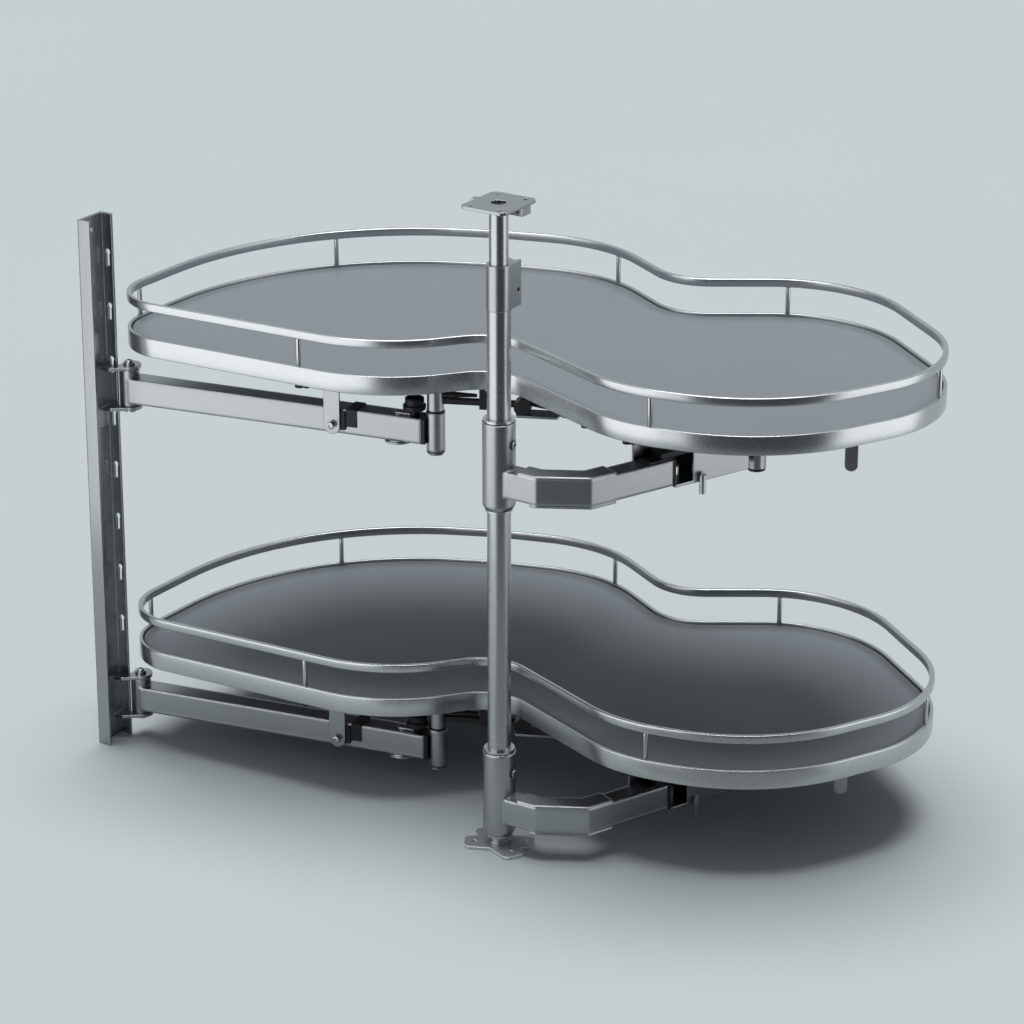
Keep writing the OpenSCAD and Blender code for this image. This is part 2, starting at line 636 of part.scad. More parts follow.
post_screw(tray_z_upper);  // post_screw_upper
post_screw(tray_z_lower);  // post_screw_lower
post_cap(tray_z_upper);  // post_cap_upper
post_cap(tray_z_lower);  // post_cap_lower
post_bracket(tray_z_upper);  // post_bracket_upper
post_bracket(tray_z_lower);  // post_bracket_lower
post_barrel(tray_z_upper);  // post_barrel_upper
post_barrel(tray_z_lower);  // post_barrel_lower
post_lever(tray_z_upper);  // post_lever_upper
post_lever(tray_z_lower);  // post_lever_lower
band(tray_z_upper);  // band_upper
band(tray_z_lower);  // band_lower
panel(tray_z_upper);  // panel_upper
panel(tray_z_lower);  // panel_lower
guard_rail(tray_z_upper);  // guard_rail_upper
guard_rail(tray_z_lower);  // guard_rail_lower
rail_posts(tray_z_upper);  // rail_posts_upper
rail_posts(tray_z_lower);  // rail_posts_lower
tray_pivot(tray_z_upper);  // tray_pivot_upper
tray_pivot(tray_z_lower);  // tray_pivot_lower
tray_seat(tray_z_upper);  // tray_seat_upper
tray_seat(tray_z_lower);  // tray_seat_lower
catch_strap(tray_z_upper);  // catch_strap_upper
catch_strap(tray_z_lower);  // catch_strap_lower
catch_pad(tray_z_upper);  // catch_pad_upper
catch_pad(tray_z_lower);  // catch_pad_lower
damper_bar(tray_z_upper);  // damper_bar_upper
damper_bar(tray_z_lower);  // damper_bar_lower
damper_body(tray_z_upper);  // damper_body_upper
damper_body(tray_z_lower);  // damper_body_lower
hanger(tray_z_upper);  // hanger_upper
hanger(tray_z_lower);  // hanger_lower
edge_clips(tray_z_upper);  // edge_clips_upper
edge_clips(tray_z_lower);  // edge_clips_lower
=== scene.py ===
"""Swing-out corner cabinet fitting: finishes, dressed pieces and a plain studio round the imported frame."""
import json
import math

import bmesh
import bpy
from bpy.props import FloatProperty, FloatVectorProperty, PointerProperty
from mathutils import Matrix, Vector


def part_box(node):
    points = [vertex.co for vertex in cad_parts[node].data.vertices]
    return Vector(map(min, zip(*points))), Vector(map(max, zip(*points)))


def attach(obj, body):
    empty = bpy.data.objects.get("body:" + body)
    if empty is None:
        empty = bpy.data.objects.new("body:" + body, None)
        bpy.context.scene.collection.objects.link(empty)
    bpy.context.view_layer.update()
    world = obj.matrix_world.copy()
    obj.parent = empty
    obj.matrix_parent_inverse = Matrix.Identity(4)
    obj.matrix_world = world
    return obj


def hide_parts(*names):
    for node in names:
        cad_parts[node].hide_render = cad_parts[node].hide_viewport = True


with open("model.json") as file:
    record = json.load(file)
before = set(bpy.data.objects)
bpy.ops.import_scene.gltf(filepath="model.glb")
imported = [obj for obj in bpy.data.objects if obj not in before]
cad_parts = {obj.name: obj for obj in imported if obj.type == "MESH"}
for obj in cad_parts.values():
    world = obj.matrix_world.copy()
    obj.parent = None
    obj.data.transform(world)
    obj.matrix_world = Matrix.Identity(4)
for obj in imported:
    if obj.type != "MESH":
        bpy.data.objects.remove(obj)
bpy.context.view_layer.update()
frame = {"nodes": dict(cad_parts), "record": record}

bl_info = {
    "name": "Corner tray fitting",
    "version": (1, 0, 0),
    "blender": (4, 5, 0),
    "location": "View3D > Sidebar > Trays",
    "description": "Dresses the swing-out corner tray fitting and lights it",
    "category": "Object",
}

NODES = frame["nodes"]
LEVELS = ("upper", "lower")
BAND = {k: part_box("band_" + k) for k in LEVELS}
GUARD = {k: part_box("guard_rail_" + k) for k in LEVELS}
PANEL = {k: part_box("panel_" + k) for k in LEVELS}

# The trays' outline: a belt round discs (x, y, radius in mm), turning right round a negative radius.
DISCS = (
    (146, 250, 207), (220, 259, 145), (154, 307, 148), (-12, 451, -63), (-171, 286, 160), (-135, 48, 398),
    (-187, 110, 320), (-442, 50, 66), (-240, 161, 162), (-55, 46, -54), (136, 200, 160),
)
# Each rod of the guard rail: the disc that it stands on, and the angle round that disc.
RODS = ((0, -88), (1, 10), (2, 114), (4, 72), (6, 140), (7, 184), (8, 264))

# Band's ledge: its width, its thickness and the gap under the board (metres, like all sizes below).
LEDGE, LEDGE_T, LEDGE_GAP = 0.006, 0.003, 0.0001
# Sealing strip: the width of the joint between band and board, and the play on both sides of the strip.
JOINT, PLAY = 0.0014, 0.0001

# Screw heads: radius and height.
HINGE_HEAD, SLEEVE_HEAD, RIVET_HEAD = (0.0045, 0.0018), (0.0040, 0.0014), (0.0042, 0.002)
SLEEVE_SOCKET = 0.55
# Rivet of the strap: its height over the strap's lower end, and the direction and distance it stands out.
RIVET_UP, STRAP_SIDE, STRAP_OUT = 0.011, Vector((0.1987, -0.98, 0)), 0.0026
# Seal on the column sleeve: inner and outer radius, lower and upper face over the sleeve.
SEAL_IN, SEAL_OUT, SEAL_LOW, SEAL_HIGH = 0.0164, 0.0168, 0.0001, 0.0009

# Saddle on the guide arm: inner half width, wall, length, gap to the pad, reach of its front and rear skirt.
SADDLE_HALF, SADDLE_WALL, SADDLE_LONG, SADDLE_GAP = 0.0121, 0.0013, 0.012, 0.0006
SKIRT_FRONT, SKIRT_REAR = 0.019, 0.012

# Studio: the middle of the object, the photo's directions to the right and away, and the floor's radius.
MIDDLE = Vector((-0.1, 0.2, 0))
ACROSS, AWAY = Vector((0.8387, 0.5446, 0)), Vector((-0.5446, 0.8387, 0))
FLOOR_RADIUS = 30.0
# Upright cards: name, start and end (to the right, towards the viewer), height, colour and glow.
CARDS = (
    ("dark_card", (-0.42, 1.15), (1.0, 0.9), 1.3, (0.05, 0.055, 0.058), 1.0),
    ("light_card_left", (-1.12, 0.12), (-0.50, 1.15), 1.6, (1.0, 1.0, 1.0), 1.35),
    ("grey_card_left", (-1.15, -0.6), (-1.13, 0.11), 1.6, (0.22, 0.235, 0.24), 1.0),
    ("light_card_right", (1.05, 0.82), (1.35, 0.1), 1.4, (1.0, 1.0, 1.0), 1.25),
)
CARD_FOOT = 0.01
# Dark card that lies in front of the object: its corners (to the right, towards the viewer) and height.
LOW_CARD, LOW_CARD_Z = ((-0.25, 0.42), (0.55, 0.42), (0.9, 0.95), (-0.35, 1.1)), 0.006
LOW_CARD_COLOUR = (0.16, 0.17, 0.175)
# Air: the colour and strength of its light, which is not what camera and metal see.
AIR_LIGHT, AIR_STRENGTH = (0.96, 1.0, 1.02, 1.0), 0.205
# Overhead lamp: its direction from the middle, power and apparent size in degrees.
LAMP_FROM, LAMP_POWER, LAMP_SIZE = AWAY * 0.22 + Vector((0, 0, 1.5)), 2.51, 38
# Camera: place, degrees down and round, lens and sensor in mm, vertical shift, far limit.
CAMERA_PLACE, CAMERA_DOWN, CAMERA_ROUND = (1.9059, -2.9073, 1.7520), 19.5358, 33.0257
CAMERA_LENS, CAMERA_SENSOR, CAMERA_SHIFT, CAMERA_FAR = 126.56, 36.0, -0.12, 60.0


# ---- sizes and colours a user would change

class TraySizes(bpy.types.PropertyGroup):
    """Sizes of the dressed tray pieces"""
    band_wall: FloatProperty(
        name="Band wall", description="Thickness of the tray's side band",
        default=0.004, min=0.002, max=0.006, unit="LENGTH")
    rail_wall: FloatProperty(
        name="Rail thickness", description="Thickness of the guard rail's bar",
        default=0.0055, min=0.003, max=0.008, unit="LENGTH")
    rod: FloatProperty(
        name="Rod diameter", description="Diameter of the rods between band and guard rail",
        default=0.0054, min=0.003, max=0.0055, unit="LENGTH")
    edge_round: FloatProperty(
        name="Edge rounding", description="Radius of the rounded metal edges",
        default=0.0011, min=0.0002, max=0.002, unit="LENGTH")
    # Painted highlight: the width of the rounded edge that is painted brighter than the face.
    highlight_edge_width: FloatProperty(
        name="Edge highlight", description="Width of the brighter rounded edge on tubes and pressed metal",
        default=0.0013, min=0.0, max=0.003, unit="LENGTH")
    arc_step: FloatProperty(
        name="Outline step", description="Degrees between two points of the tray's outline",
        default=2.0, min=0.5, max=6.0, subtype="NONE")


class TrayFinishes(bpy.types.PropertyGroup):
    """Colours of the finishes"""
    steel: FloatVectorProperty(
        name="Satin steel", description="Colour of arms, brackets and rail",
        default=(0.335, 0.348, 0.36), subtype="COLOR", size=3, min=0, max=1)
    bright: FloatVectorProperty(
        name="Bright plate", description="Colour of bands, guard rails and tubes",
        default=(0.46, 0.475, 0.485), subtype="COLOR", size=3, min=0, max=1)
    board: FloatVectorProperty(
        name="Tray board", description="Colour of the coated tray panels",
        default=(0.257, 0.286, 0.312), subtype="COLOR", size=3, min=0, max=1)
    # Painted shade: the boards' lower face is painted near black, so that the arms under it reflect darkness.
    underside: FloatVectorProperty(
        name="Board underside", description="Colour of the backing foil under the tray panels",
        default=(0.035, 0.038, 0.042), subtype="COLOR", size=3, min=0, max=1)
    plastic: FloatVectorProperty(
        name="Black plastic", description="Colour of caps, rings, pads and knobs",
        default=(0.010, 0.011, 0.012), subtype="COLOR", size=3, min=0, max=1)
    enamel: FloatVectorProperty(
        name="Dark plate", description="Colour of the floor plate",
        default=(0.50, 0.515, 0.525), subtype="COLOR", size=3, min=0, max=1)
    floor: FloatVectorProperty(
        name="Studio floor", description="Colour of the floor and of the air behind it",
        default=(0.575, 0.631, 0.651), subtype="COLOR", size=3, min=0, max=1)


# ---- shader maths

class Wire:
    """A shader socket in an expression: each operator adds one Math node"""

    def __init__(self, graph, socket):
        self.graph, self.socket = graph, socket

    def maths(self, operation, *values, clamp=False):
        return self.graph.node("ShaderNodeMath", {"operation": operation, "use_clamp": clamp}, *values)

    def __add__(self, other): return self.maths("ADD", self, other)
    def __radd__(self, other): return self.maths("ADD", other, self)
    def __sub__(self, other): return self.maths("SUBTRACT", self, other)
    def __rsub__(self, other): return self.maths("SUBTRACT", other, self)
    def __mul__(self, other): return self.maths("MULTIPLY", self, other)
    def __rmul__(self, other): return self.maths("MULTIPLY", other, self)

    def clamp(self): return self.maths("ADD", self, 0.0, clamp=True)


class Graph:
    """The node tree of one finish, its shader and the coordinates that its patterns use"""

    def __init__(self, name, world=None):
        self.material = world or bpy.data.materials.new(name)
        self.material.use_nodes = True
        self.tree = self.material.node_tree
        self.tree.nodes.clear()
        out = self.tree.nodes.new("ShaderNodeOutputWorld" if world else "ShaderNodeOutputMaterial")
        self.surface = out.inputs["Surface"]
        if not world:
            self.shader = self.tree.nodes.new("ShaderNodeBsdfPrincipled")
            self.tree.links.new(self.shader.outputs["BSDF"], self.surface)
            self.place = self.node("ShaderNodeTexCoord", {}, out="Object")

    def node(self, kind, settings, *values, out=0, sockets=None, **named):
        """Adds a node: its settings first, then the values or links of its sockets"""
        made = self.tree.nodes.new(kind)
        for key, value in settings.items():
            setattr(made, key, value)
        for key, value in [*enumerate(values), *(sockets or {}).items()]:
            self.feed(made.inputs[key], value)
        for key, value in named.items():
            self.feed(made.inputs[key.replace("_", " ")], value)
        return Wire(self, made.outputs[out])

    def feed(self, socket, value):
        """Links a wire to a socket, or sets the socket's value"""
        if isinstance(value, Wire):
            self.tree.links.new(value.socket, socket)
        else:
            socket.default_value = (*value, 1.0) if socket.type == "RGBA" and len(value) == 3 else value

    def mix(self, mask, first, second):
        """Blends two colours by a mask"""
        return self.node("ShaderNodeMix", {"data_type": "RGBA"}, sockets={0: mask, 6: first, 7: second}, out=2)

    def noise(self, scale, detail=3.0, rough=0.55, stretch=None):
        place = self.place
        if stretch:
            place = self.node("ShaderNodeMapping", {}, Vector=place, Scale=stretch)
        return self.node("ShaderNodeTexNoise", {}, Vector=place, Scale=scale, Detail=detail, Roughness=rough)

    def edge(self, width):
        """1 on sharp edges, 0 on open faces, and the rounded normal that goes with it"""
        if width <= 0:
            return None, None
        rounded = self.node("ShaderNodeBevel", {"samples": 6}, Radius=width, out="Normal")
        flat = self.node("ShaderNodeNewGeometry", {}, out="Normal")
        along = self.node("ShaderNodeVectorMath", {"operation": "DOT_PRODUCT"}, rounded, flat, out="Value")
        return ((1.0 - along) * 6.0).clamp(), rounded

    def bump(self, height, strength, distance, normal=None):
        wires = {"Height": height, "Strength": strength, "Distance": distance}
        if normal is not None:
            wires["Normal"] = normal
        return self.node("ShaderNodeBump", {}, **wires)

    def finish(self, **sockets):
        """Feeds the shader's sockets and gives the material"""
        for key, value in sockets.items():
            self.feed(self.shader.inputs[key.replace("_", " ")], value)
        return self.material


def shade(colour, amount):
    """A colour made lighter or darker"""
    return tuple(min(1.0, c * amount) for c in colour)


def metal(name, colour, rough, edge_width, grain=(1.0, 1.0, 1.0), depth=0.05, edge_highlight_gain=1.5, bend=0.0):
    """Satin plated metal: fine grain, faint clouding, rounded edges painted brighter as a highlight and, on tubes,
    softly rounded bends
    """
    g = Graph(name)
    fine = g.noise(1400.0, 4.0, 0.6, grain)
    cloud = g.noise(9.0, 2.0, 0.5)
    edge, rounded = g.edge(edge_width)
    if bend:
        rounded = g.edge(bend)[1]
    body = g.mix(cloud, shade(colour, 0.95), shade(colour, 1.05))
    if edge is not None:
        # Painted highlight: the rounded edges are painted brighter than the face.
        body = g.mix(edge * 0.55, body, shade(colour, edge_highlight_gain))
    return g.finish(
        Base_Color=body, Metallic=1.0, Roughness=(fine * 0.12 + cloud * 0.05 + (rough - 0.085)).clamp(),
        Normal=g.bump(fine, depth, 0.0002, rounded),
    )


def moulded(name, colour, rough, edge_width):
    """Black plastic with a fine moulded grain and slightly paler edges, a painted highlight"""
    g = Graph(name)
    grain = g.noise(2600.0, 3.0, 0.6)
    cloud = g.noise(40.0, 3.0, 0.5)
    edge, rounded = g.edge(edge_width)
    # Painted highlight: the edges are painted paler than the faces.
    body = g.mix(edge * 0.5, g.mix(cloud, shade(colour, 0.8), shade(colour, 1.25)), shade(colour, 3.0))
    return g.finish(
        Base_Color=body, Roughness=(grain * 0.12 + (rough - 0.06)).clamp(), Specular_IOR_Level=0.3,
        Normal=g.bump(grain, 0.12, 0.0003, rounded),
    )


def coated_board(name, colour):
    """Grey coated face with a fine leather grain, painted shade in the grain's hollows, and faint clouding"""
    g = Graph(name)
    cells = g.node("ShaderNodeTexVoronoi", {"feature": "DISTANCE_TO_EDGE"}, Vector=g.place, Scale=620.0)
    fibre = g.noise(900.0, 5.0, 0.65)
    cloud = g.noise(6.0, 3.0, 0.5)
    relief = (cells * 2.0).clamp() * 0.6 + fibre * 0.4
    body = g.mix(cloud, shade(colour, 0.93), shade(colour, 1.07))
    # Painted shade: the hollows of the grain are painted darker.
    body = g.mix((1.0 - relief) * 0.35, body, shade(colour, 0.72))
    return g.finish(
        Base_Color=body, Roughness=(fibre * 0.14 + 0.38).clamp(), Specular_IOR_Level=0.14,
        Normal=g.bump(relief, 0.22, 0.0004),
    )


def paper(name, colour):
    """Dull floor with faint clouding"""
    g = Graph(name)
    cloud = g.noise(1.5, 2.0, 0.5)
    body = g.mix(cloud, shade(colour, 0.985), shade(colour, 1.015))
    return g.finish(Base_Color=body, Roughness=1.0, Specular_IOR_Level=0.0)


def glowing(name, colour, glow):
    """Dull card that glows in its own colour"""
    return Graph(name).finish(
        Base_Color=colour, Roughness=1.0, Specular_IOR_Level=0.0, Emission_Color=colour, Emission_Strength=glow)


FINISH = {}


def finishes():
    """Makes every finish once, from the colours in the panel"""
    if FINISH:
        return FINISH
    c, s = bpy.context.scene.tray_finishes, bpy.context.scene.tray_sizes
    steel, bright = tuple(c.steel), tuple(c.bright)
    FINISH.update(
        steel=metal("Satin steel", steel, 0.30, s.highlight_edge_width, edge_highlight_gain=1.9),
        arm=metal("Box tube", steel, 0.31, s.highlight_edge_width, (0.25, 1.0, 1.0), 0.03, 2.4, 0.0045),
        bright=metal("Bright plate", bright, 0.27, 0.0, depth=0.007),
        # Painted shade: the drawn tube is the bright plate made darker, a shaded copy that stands in for darker
        # reflections on the column.
        tube=metal("Drawn tube", shade(bright, 0.86), 0.27, 0.0006, (1.0, 1.0, 0.06), 0.012, 1.2),
        rail=metal("Rolled rail", steel, 0.26, s.highlight_edge_width, (1.0, 1.0, 0.02), 0.012, 1.8, 0.002),
        rod=metal("Plated rod", bright, 0.24, 0.0),
        plastic=moulded("Black plastic", tuple(c.plastic), 0.42, 0.0006),
        board=coated_board("Tray board", tuple(c.board)),
        underside=coated_board("Board underside", tuple(c.underside)),
        enamel=metal("Dark plate", tuple(c.enamel), 0.50, 0.0014, edge_highlight_gain=2.0),
    )
    return FINISH


# ---- forms

def turn(angle):
    """The same angle between -180 and 180 degrees"""
    return (angle + 180.0) % 360.0 - 180.0


def heading(p, q):
    """Direction of the belt's straight run from one disc to the next"""
    across, up = q[0] - p[0], q[1] - p[1]
    return math.degrees(math.atan2(up, across) - math.asin((q[2] - p[2]) / math.hypot(across, up)))


def outline(out, step):
    """Points of the tray's outline, moved outward by out (metres)"""
    n, points = len(DISCS), []
    way = [heading(DISCS[i], DISCS[(i + 1) % n]) for i in range(n)]
    for i, (x, y, r) in enumerate(DISCS):
        bend = turn(way[i] - way[i - 1])
        k = max(3, math.ceil(abs(bend) / step))
        radius = r / 1000.0 + out
        for j in range(k + 1):
            a = math.radians(way[i - 1] + bend * j / k)
            points.append(Vector((x / 1000.0 + radius * math.sin(a), y / 1000.0 - radius * math.cos(a))))
    return points


def rounded_section(inner, outer, low, high, radius, parts=3):
    """A rectangle with rounded corners, as (offset from the outline, height) pairs"""
    corners = (
        (outer - radius, low + radius, -90), (outer - radius, high - radius, 0),
        (inner + radius, high - radius, 90), (inner + radius, low + radius, 180),
    )
    section = []
    for x, z, start in corners:
        for k in range(parts + 1):
            a = math.radians(start + 90 * k / parts)
            section.append((x + radius * math.cos(a), z + radius * math.sin(a)))
    return section


def mesh_piece(name, bm, finish, body, smooth_angle=35.0):
    """Turns a bmesh into an object that rides on a body"""
    bmesh.ops.recalc_face_normals(bm, faces=bm.faces)
    mesh = bpy.data.meshes.new(name)
    bm.to_mesh(mesh)
    bm.free()
    mesh.shade_smooth()
    mesh.set_sharp_from_angle(angle=math.radians(smooth_angle))
    piece = bpy.data.objects.new(name, mesh)
    bpy.context.scene.collection.objects.link(piece)
    mesh.materials.append(finish)
    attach(piece, body)
    return piece


def join(bm, first, second):
    """Faces between two closed rings with the same number of points"""
    for i in range(len(first)):
        j = (i + 1) % len(first)
        bm.faces.new((first[i], first[j], second[j], second[i]))


def sweep(bm, section, step, closed=True):
    """Sweeps a section round the tray's outline and gives its rings"""
    rings = [[bm.verts.new((p.x, p.y, z)) for p in outline(out, step)] for out, z in section]
    for first, second in zip(rings, rings[1:] + rings[:1] if closed else rings[1:]):
        join(bm, first, second)
    return rings


def lathe(bm, section, place, segments=48):
    """Turns (radius, height) pairs round the local Z axis of place"""
    rings = []
    for r, z in section:
        if r < 1e-6:
            rings.append([bm.verts.new(place @ Vector((0, 0, z)))])
        else:
            around = [2 * math.pi * k / segments for k in range(segments)]
            rings.append([bm.verts.new(place @ Vector((r * math.cos(a), r * math.sin(a), z))) for a in around])
    for first, second in zip(rings, rings[1:]):
        for k in range(segments):
            m = (k + 1) % segments
            corners = [ring[i % len(ring)] for ring, i in ((first, k), (first, m), (second, m), (second, k))]
            corners = [v for i, v in enumerate(corners) if v not in corners[:i]]
            if len(corners) > 2:
                bm.faces.new(corners)


def facing(point, direction):
    """A placement whose local Z looks along direction"""
    return Matrix.Translation(Vector(point)) @ Vector(direction).to_track_quat("Z", "Y").to_matrix().to_4x4()


def screw_head(bm, point, direction, radius, height, socket=0.5):
    """A domed screw head with a hexagon socket"""
    place, hole = facing(point, direction), radius * socket
    dome = [(radius, 0), (radius, height * 0.45), (radius * 0.9, height * 0.8), (radius * 0.7, height), (hole, height)]
    lathe(bm, dome, place, 32)
    lathe(bm, [(hole, height), (hole * 0.95, height * 0.25), (0, height * 0.2)], place, 6)


# ---- operators

class TRAY_OT_metalwork(bpy.types.Operator):
    """Gives every solid of the frame its finish"""
    bl_idname = "tray.metalwork"
    bl_label = "Finish the metalwork"

    def execute(self, context):
        f = finishes()
        by_slot = {
            "bright_chrome": f["bright"], "satin_steel": f["steel"], "black_plastic": f["plastic"],
            "tray_board": f["board"], "dark_enamel": f["enamel"],
        }
        special = {"column_tube": "tube", "column_inner_tube": "tube", "wall_rail": "rail"}
        for level in LEVELS:
            special["guide_arm_" + level] = special["post_arm_" + level] = "arm"
            special["catch_strap_" + level] = "steel"
        for part in frame["record"]["subparts"]:
            node = NODES[part["node"]]
            finish = f[special[part["node"]]] if part["node"] in special else by_slot[part["material_slot"]]
            node.data.materials.clear()
            node.data.materials.append(finish)
        return {"FINISHED"}


class TRAY_OT_bands(bpy.types.Operator):
    """Rolled side bands with the ledge that carries the board"""
    bl_idname = "tray.bands"
    bl_label = "Side bands"

    def execute(self, context):
        s = context.scene.tray_sizes
        for level in LEVELS:
            low, high = BAND[level]
            under = PANEL[level][0].z
            ledge = (-s.band_wall - LEDGE, -s.band_wall, under - LEDGE_T, under - LEDGE_GAP)
            bm = bmesh.new()
            sweep(bm, rounded_section(-s.band_wall, 0.0, low.z, high.z, s.edge_round), s.arc_step)
            sweep(bm, rounded_section(*ledge, 0.0005, 1), s.arc_step)
            piece = mesh_piece("side_band_" + level, bm, finishes()["bright"], "tray_" + level)
            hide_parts("band_" + level)
        return {"FINISHED"}


class TRAY_OT_guard_rails(bpy.types.Operator):
    """Flat guard rails with rounded edges"""
    bl_idname = "tray.guard_rails"
    bl_label = "Guard rails"

    def execute(self, context):
        s = context.scene.tray_sizes
        for level in LEVELS:
            low, high = GUARD[level]
            bm = bmesh.new()
            sweep(bm, rounded_section(-s.rail_wall, 0.0, low.z, high.z, s.edge_round * 1.4), s.arc_step)
            piece = mesh_piece("guard_bar_" + level, bm, finishes()["bright"], "tray_" + level)
            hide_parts("guard_rail_" + level)
        return {"FINISHED"}


class TRAY_OT_rods(bpy.types.Operator):
    """Round rods with softened ends between band and guard rail"""
    bl_idname = "tray.rods"
    bl_label = "Rail rods"

    def execute(self, context):
        s = context.scene.tray_sizes
        r, gap, soft = s.rod / 2, 0.0001, 0.0006
        for level in LEVELS:
            low, high = BAND[level][1].z, GUARD[level][0].z
            tall = high - low
            section = [
                (0, gap), (r * 0.93, gap), (r, soft),
                (r, tall - soft), (r * 0.93, tall - gap), (0, tall - gap),
            ]
            bm = bmesh.new()
            for disc, angle in RODS:
                x, y, radius = (v / 1000.0 for v in DISCS[disc])
                a, out = math.radians(angle), radius - s.rail_wall / 2
                lathe(bm, section, Matrix.Translation((x + out * math.cos(a), y + out * math.sin(a), low)), 24)
            piece = mesh_piece("rods_" + level, bm, finishes()["rod"], "tray_" + level)
            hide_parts("rail_posts_" + level)
        return {"FINISHED"}


class TRAY_OT_boards(bpy.types.Operator):
    """Coated boards with a softened edge, a lower face painted near black as shade, and a sealing strip along the band
    """
    bl_idname = "tray.boards"
    bl_label = "Tray boards"

    def execute(self, context):
        s = context.scene.tray_sizes
        for level in LEVELS:
            low, high = PANEL[level]
            wall = -s.band_wall - JOINT
            section = [
                (wall, low.z), (wall, high.z - 0.0009), (wall - 0.0003, high.z - 0.0003), (wall - 0.0011, high.z),
            ]
            bm = bmesh.new()
            rings = sweep(bm, section, s.arc_step, closed=False)
            bm.faces.new(rings[-1])
            bm.faces.new(rings[0][::-1]).material_index = 1
            board = mesh_piece("board_" + level, bm, finishes()["board"], "tray_" + level, 50.0)
            # Painted shade: the lower face takes the near black colour, which darkens what the arms reflect.
            board.data.materials.append(finishes()["underside"])
            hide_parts("panel_" + level)

            seal = (wall + PLAY, -s.band_wall - PLAY, low.z + 0.001, high.z - 0.0006)
            bm = bmesh.new()
            sweep(bm, rounded_section(*seal, 0.0004, 1), s.arc_step)
            strip = mesh_piece("sealing_strip_" + level, bm, finishes()["plastic"], "tray_" + level)
        return {"FINISHED"}


class TRAY_OT_fasteners(bpy.types.Operator):
    """Screw heads, rivets and seals on the hinges, sleeves, barrels and straps"""
    bl_idname = "tray.fasteners"
    bl_label = "Fasteners"

    def execute(self, context):
        f = finishes()
        for level in LEVELS:
            bm = bmesh.new()
            low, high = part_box("rail_pin_" + level)
            mid = (low + high) / 2
            screw_head(bm, (mid.x, mid.y, high.z), (0, 0, 1), *HINGE_HEAD)
            piece = mesh_piece("hinge_screw_" + level, bm, f["bright"], "column_and_rail")

            bm = bmesh.new()
            low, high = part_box("post_screw_" + level)
            mid = (low + high) / 2
            screw_head(bm, (high.x - 0.0002, mid.y, mid.z), (1, 0, 0), *SLEEVE_HEAD, SLEEVE_SOCKET)
            piece = mesh_piece("sleeve_screw_" + level, bm, f["bright"], "post_arm_" + level)

            bm = bmesh.new()
            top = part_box("post_arm_" + level)[1].z
            ring = [(SEAL_IN, SEAL_LOW), (SEAL_OUT, SEAL_LOW), (SEAL_OUT, SEAL_HIGH), (SEAL_IN, SEAL_HIGH)]
            lathe(bm, [(r, top + z) for r, z in ring + ring[:1]], Matrix(), 64)
            low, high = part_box("post_barrel_" + level)
            mid, wide = (low + high) / 2, (high.x - low.x) / 2
            cap = [
                (0, -0.0001), (wide - 0.0016, -0.0001), (wide - 0.0005, 0.0007),
                (wide - 0.0004, 0.0029), (wide - 0.0008, 0.00295),
            ]
            lathe(bm, cap, Matrix.Translation((mid.x, mid.y, low.z)), 48)
            piece = mesh_piece("arm_seals_" + level, bm, f["plastic"], "post_arm_" + level)

            bm = bmesh.new()
            low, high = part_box("catch_strap_" + level)
            at = Vector(((low.x + high.x) / 2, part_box("catch_pad_" + level)[0].y, low.z + RIVET_UP))
            screw_head(bm, at + STRAP_SIDE * STRAP_OUT, STRAP_SIDE, *RIVET_HEAD)
            piece = mesh_piece("strap_rivet_" + level, bm, f["bright"], "tray_" + level)
        return {"FINISHED"}


class TRAY_OT_arm_saddles(bpy.types.Operator):
    """Black saddle over each guide arm, beside the strap that stops the tray"""
    bl_idname = "tray.arm_saddles"
    bl_label = "Arm saddles"

    def execute(self, context):
        half, outer, soft = SADDLE_HALF, SADDLE_HALF + SADDLE_WALL, SADDLE_WALL * 0.4
        shape = (
            (-half, -SKIRT_FRONT), (-outer, -SKIRT_FRONT), (-outer, 0.0004), (-half - soft, SADDLE_WALL + 0.0001),
            (half + soft, SADDLE_WALL + 0.0001), (outer, 0.0004), (outer, -SKIRT_REAR), (half, -SKIRT_REAR),
            (half, 0.0001), (-half, 0.0001),
        )
        for level in LEVELS:
            pad, hinge, knob = (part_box(kind + level) for kind in ("catch_pad_", "rail_pin_", "guide_knob_"))
            start, end = (hinge[0] + hinge[1]) / 2, (knob[0] + knob[1]) / 2
            along = Vector((end.x - start.x, end.y - start.y, 0)).normalized()
            across = Vector((-along.y, along.x, 0))
            base = Vector((start.x, start.y, knob[0].z))
            first = (Vector((pad[1].x, pad[1].y, 0)) - start).dot(along) + SADDLE_GAP
            bm = bmesh.new()
            front, back = (
                [bm.verts.new(base + along * s + across * y + Vector((0, 0, z))) for y, z in shape]
                for s in (first, first + SADDLE_LONG)
            )
            join(bm, front, back)
            bm.faces.new(front[::-1])
            bm.faces.new(back)
            piece = mesh_piece("arm_saddle_" + level, bm, finishes()["plastic"], "guide_arm_" + level, 30.0)
        return {"FINISHED"}


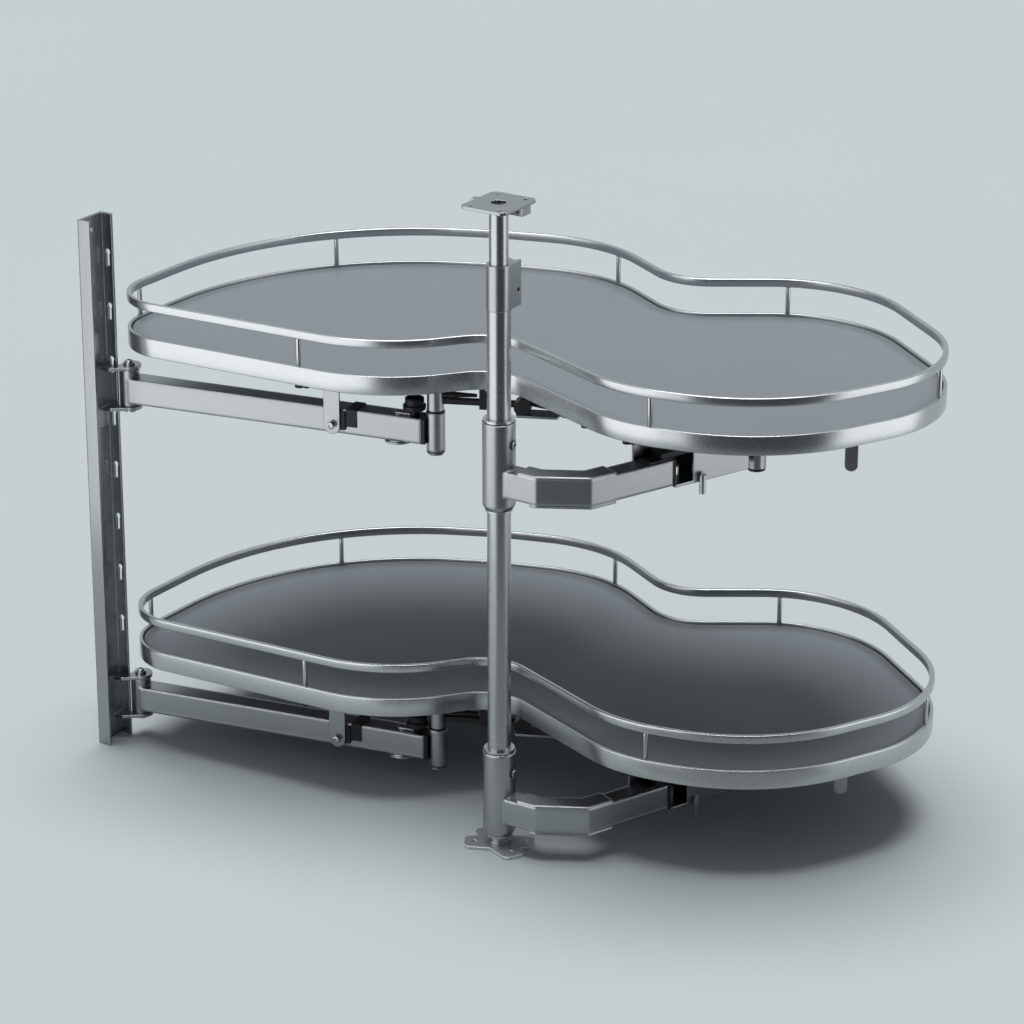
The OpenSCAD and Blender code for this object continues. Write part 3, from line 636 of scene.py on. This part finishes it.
class TRAY_OT_stage(bpy.types.Operator):
    """Round floor, reflector cards, lamp, air and the camera"""
    bl_idname = "tray.stage"
    bl_label = "Studio"

    def execute(self, context):
        context.scene.view_settings.view_transform = "Standard"
        self.floor(context.scene)
        for name, start, end, high, colour, glow in CARDS:
            a, b = self.spot(start), self.spot(end)
            foot, head = Vector((0, 0, CARD_FOOT)), Vector((0, 0, high))
            self.card(context.scene, name, [a + foot, b + foot, b + head, a + head], colour, glow)
        corners = [self.spot(corner) + Vector((0, 0, LOW_CARD_Z)) for corner in LOW_CARD]
        self.card(context.scene, "dark_floor_card", corners, LOW_CARD_COLOUR, 1.0)
        self.air(context.scene)
        self.lamp(context.scene)
        self.camera(context.scene)
        return {"FINISHED"}

    def spot(self, place):
        """A point on the floor, so far to the right of the middle and so far towards the viewer"""
        return MIDDLE + ACROSS * place[0] - AWAY * place[1]

    def floor(self, scene):
        bm = bmesh.new()
        bmesh.ops.create_circle(
            bm, cap_ends=True, segments=96, radius=FLOOR_RADIUS, matrix=Matrix.Translation(MIDDLE))
        mesh = bpy.data.meshes.new("studio_floor")
        bm.to_mesh(mesh)
        bm.free()
        floor = bpy.data.objects.new("studio_floor", mesh)
        scene.collection.objects.link(floor)
        mesh.materials.append(paper("Studio paper", tuple(scene.tray_finishes.floor)))

    def card(self, scene, name, corners, colour, glow):
        """A reflector that only the metal sees"""
        m = bpy.data.meshes.new(name)
        m.from_pydata(corners, [], [tuple(range(len(corners)))])
        o = bpy.data.objects.new(name, m)
        scene.collection.objects.link(o)
        m.materials.append(glowing(name, colour, glow))
        o.visible_camera = o.visible_diffuse = o.visible_shadow = o.visible_transmission = False

    def air(self, scene):
        """Even air of the floor's colour for camera and metal, and a weaker light for the rest"""
        scene.world = bpy.data.worlds.new("Studio air")
        g = Graph("Studio air", scene.world)
        rays = ("Is Camera Ray", "Is Glossy Ray", "Is Transmission Ray")
        camera, glossy, clear = (g.node("ShaderNodeLightPath", {}, out=ray) for ray in rays)
        seen = (camera + glossy + clear).clamp()
        light = g.node("ShaderNodeBackground", {}, Color=AIR_LIGHT, Strength=AIR_STRENGTH)
        ground = g.node("ShaderNodeBackground", {}, Color=tuple(scene.tray_finishes.floor), Strength=1.0)
        g.feed(g.surface, g.node("ShaderNodeMixShader", {}, seen, light, ground))

    def lamp(self, scene):
        data = bpy.data.lights.new("overhead", "SUN")
        data.energy = LAMP_POWER
        data.angle = math.radians(LAMP_SIZE)
        o = bpy.data.objects.new("overhead", data)
        o.location = MIDDLE + LAMP_FROM
        o.rotation_euler = (-LAMP_FROM).to_track_quat("-Z", "Y").to_euler()
        o.visible_camera = False
        scene.collection.objects.link(o)

    def camera(self, scene):
        data = bpy.data.cameras.new("Camera")
        data.sensor_width, data.lens, data.shift_y = CAMERA_SENSOR, CAMERA_LENS, CAMERA_SHIFT
        data.clip_end = CAMERA_FAR
        camera = bpy.data.objects.new("Camera", data)
        camera.location = CAMERA_PLACE
        camera.rotation_euler = (math.radians(90 - CAMERA_DOWN), 0.0, math.radians(CAMERA_ROUND))
        scene.collection.objects.link(camera)
        scene.camera = camera


class TRAY_PT_panel(bpy.types.Panel):
    """Sizes, colours and steps of the tray fitting"""
    bl_idname = "TRAY_PT_panel"
    bl_label = "Corner tray fitting"
    bl_space_type = "VIEW_3D"
    bl_region_type = "UI"
    bl_category = "Trays"

    def draw(self, context):
        for group in (context.scene.tray_sizes, context.scene.tray_finishes):
            box = self.layout.box()
            for key in group.__annotations__:
                box.prop(group, key)
        for step in STEPS:
            self.layout.operator(step.bl_idname)


STEPS = (
    TRAY_OT_metalwork, TRAY_OT_bands, TRAY_OT_guard_rails, TRAY_OT_rods,
    TRAY_OT_boards, TRAY_OT_fasteners, TRAY_OT_arm_saddles, TRAY_OT_stage,
)
CLASSES = (TraySizes, TrayFinishes, *STEPS, TRAY_PT_panel)


def register():
    for cls in CLASSES:
        bpy.utils.register_class(cls)
    bpy.types.Scene.tray_sizes = PointerProperty(type=TraySizes)
    bpy.types.Scene.tray_finishes = PointerProperty(type=TrayFinishes)


def unregister():
    del bpy.types.Scene.tray_finishes
    del bpy.types.Scene.tray_sizes
    for cls in reversed(CLASSES):
        bpy.utils.unregister_class(cls)


def main():
    register()
    for step in STEPS:
        group, name = step.bl_idname.split(".")
        getattr(getattr(bpy.ops, group), name)()


if __name__ == "__main__":
    main()
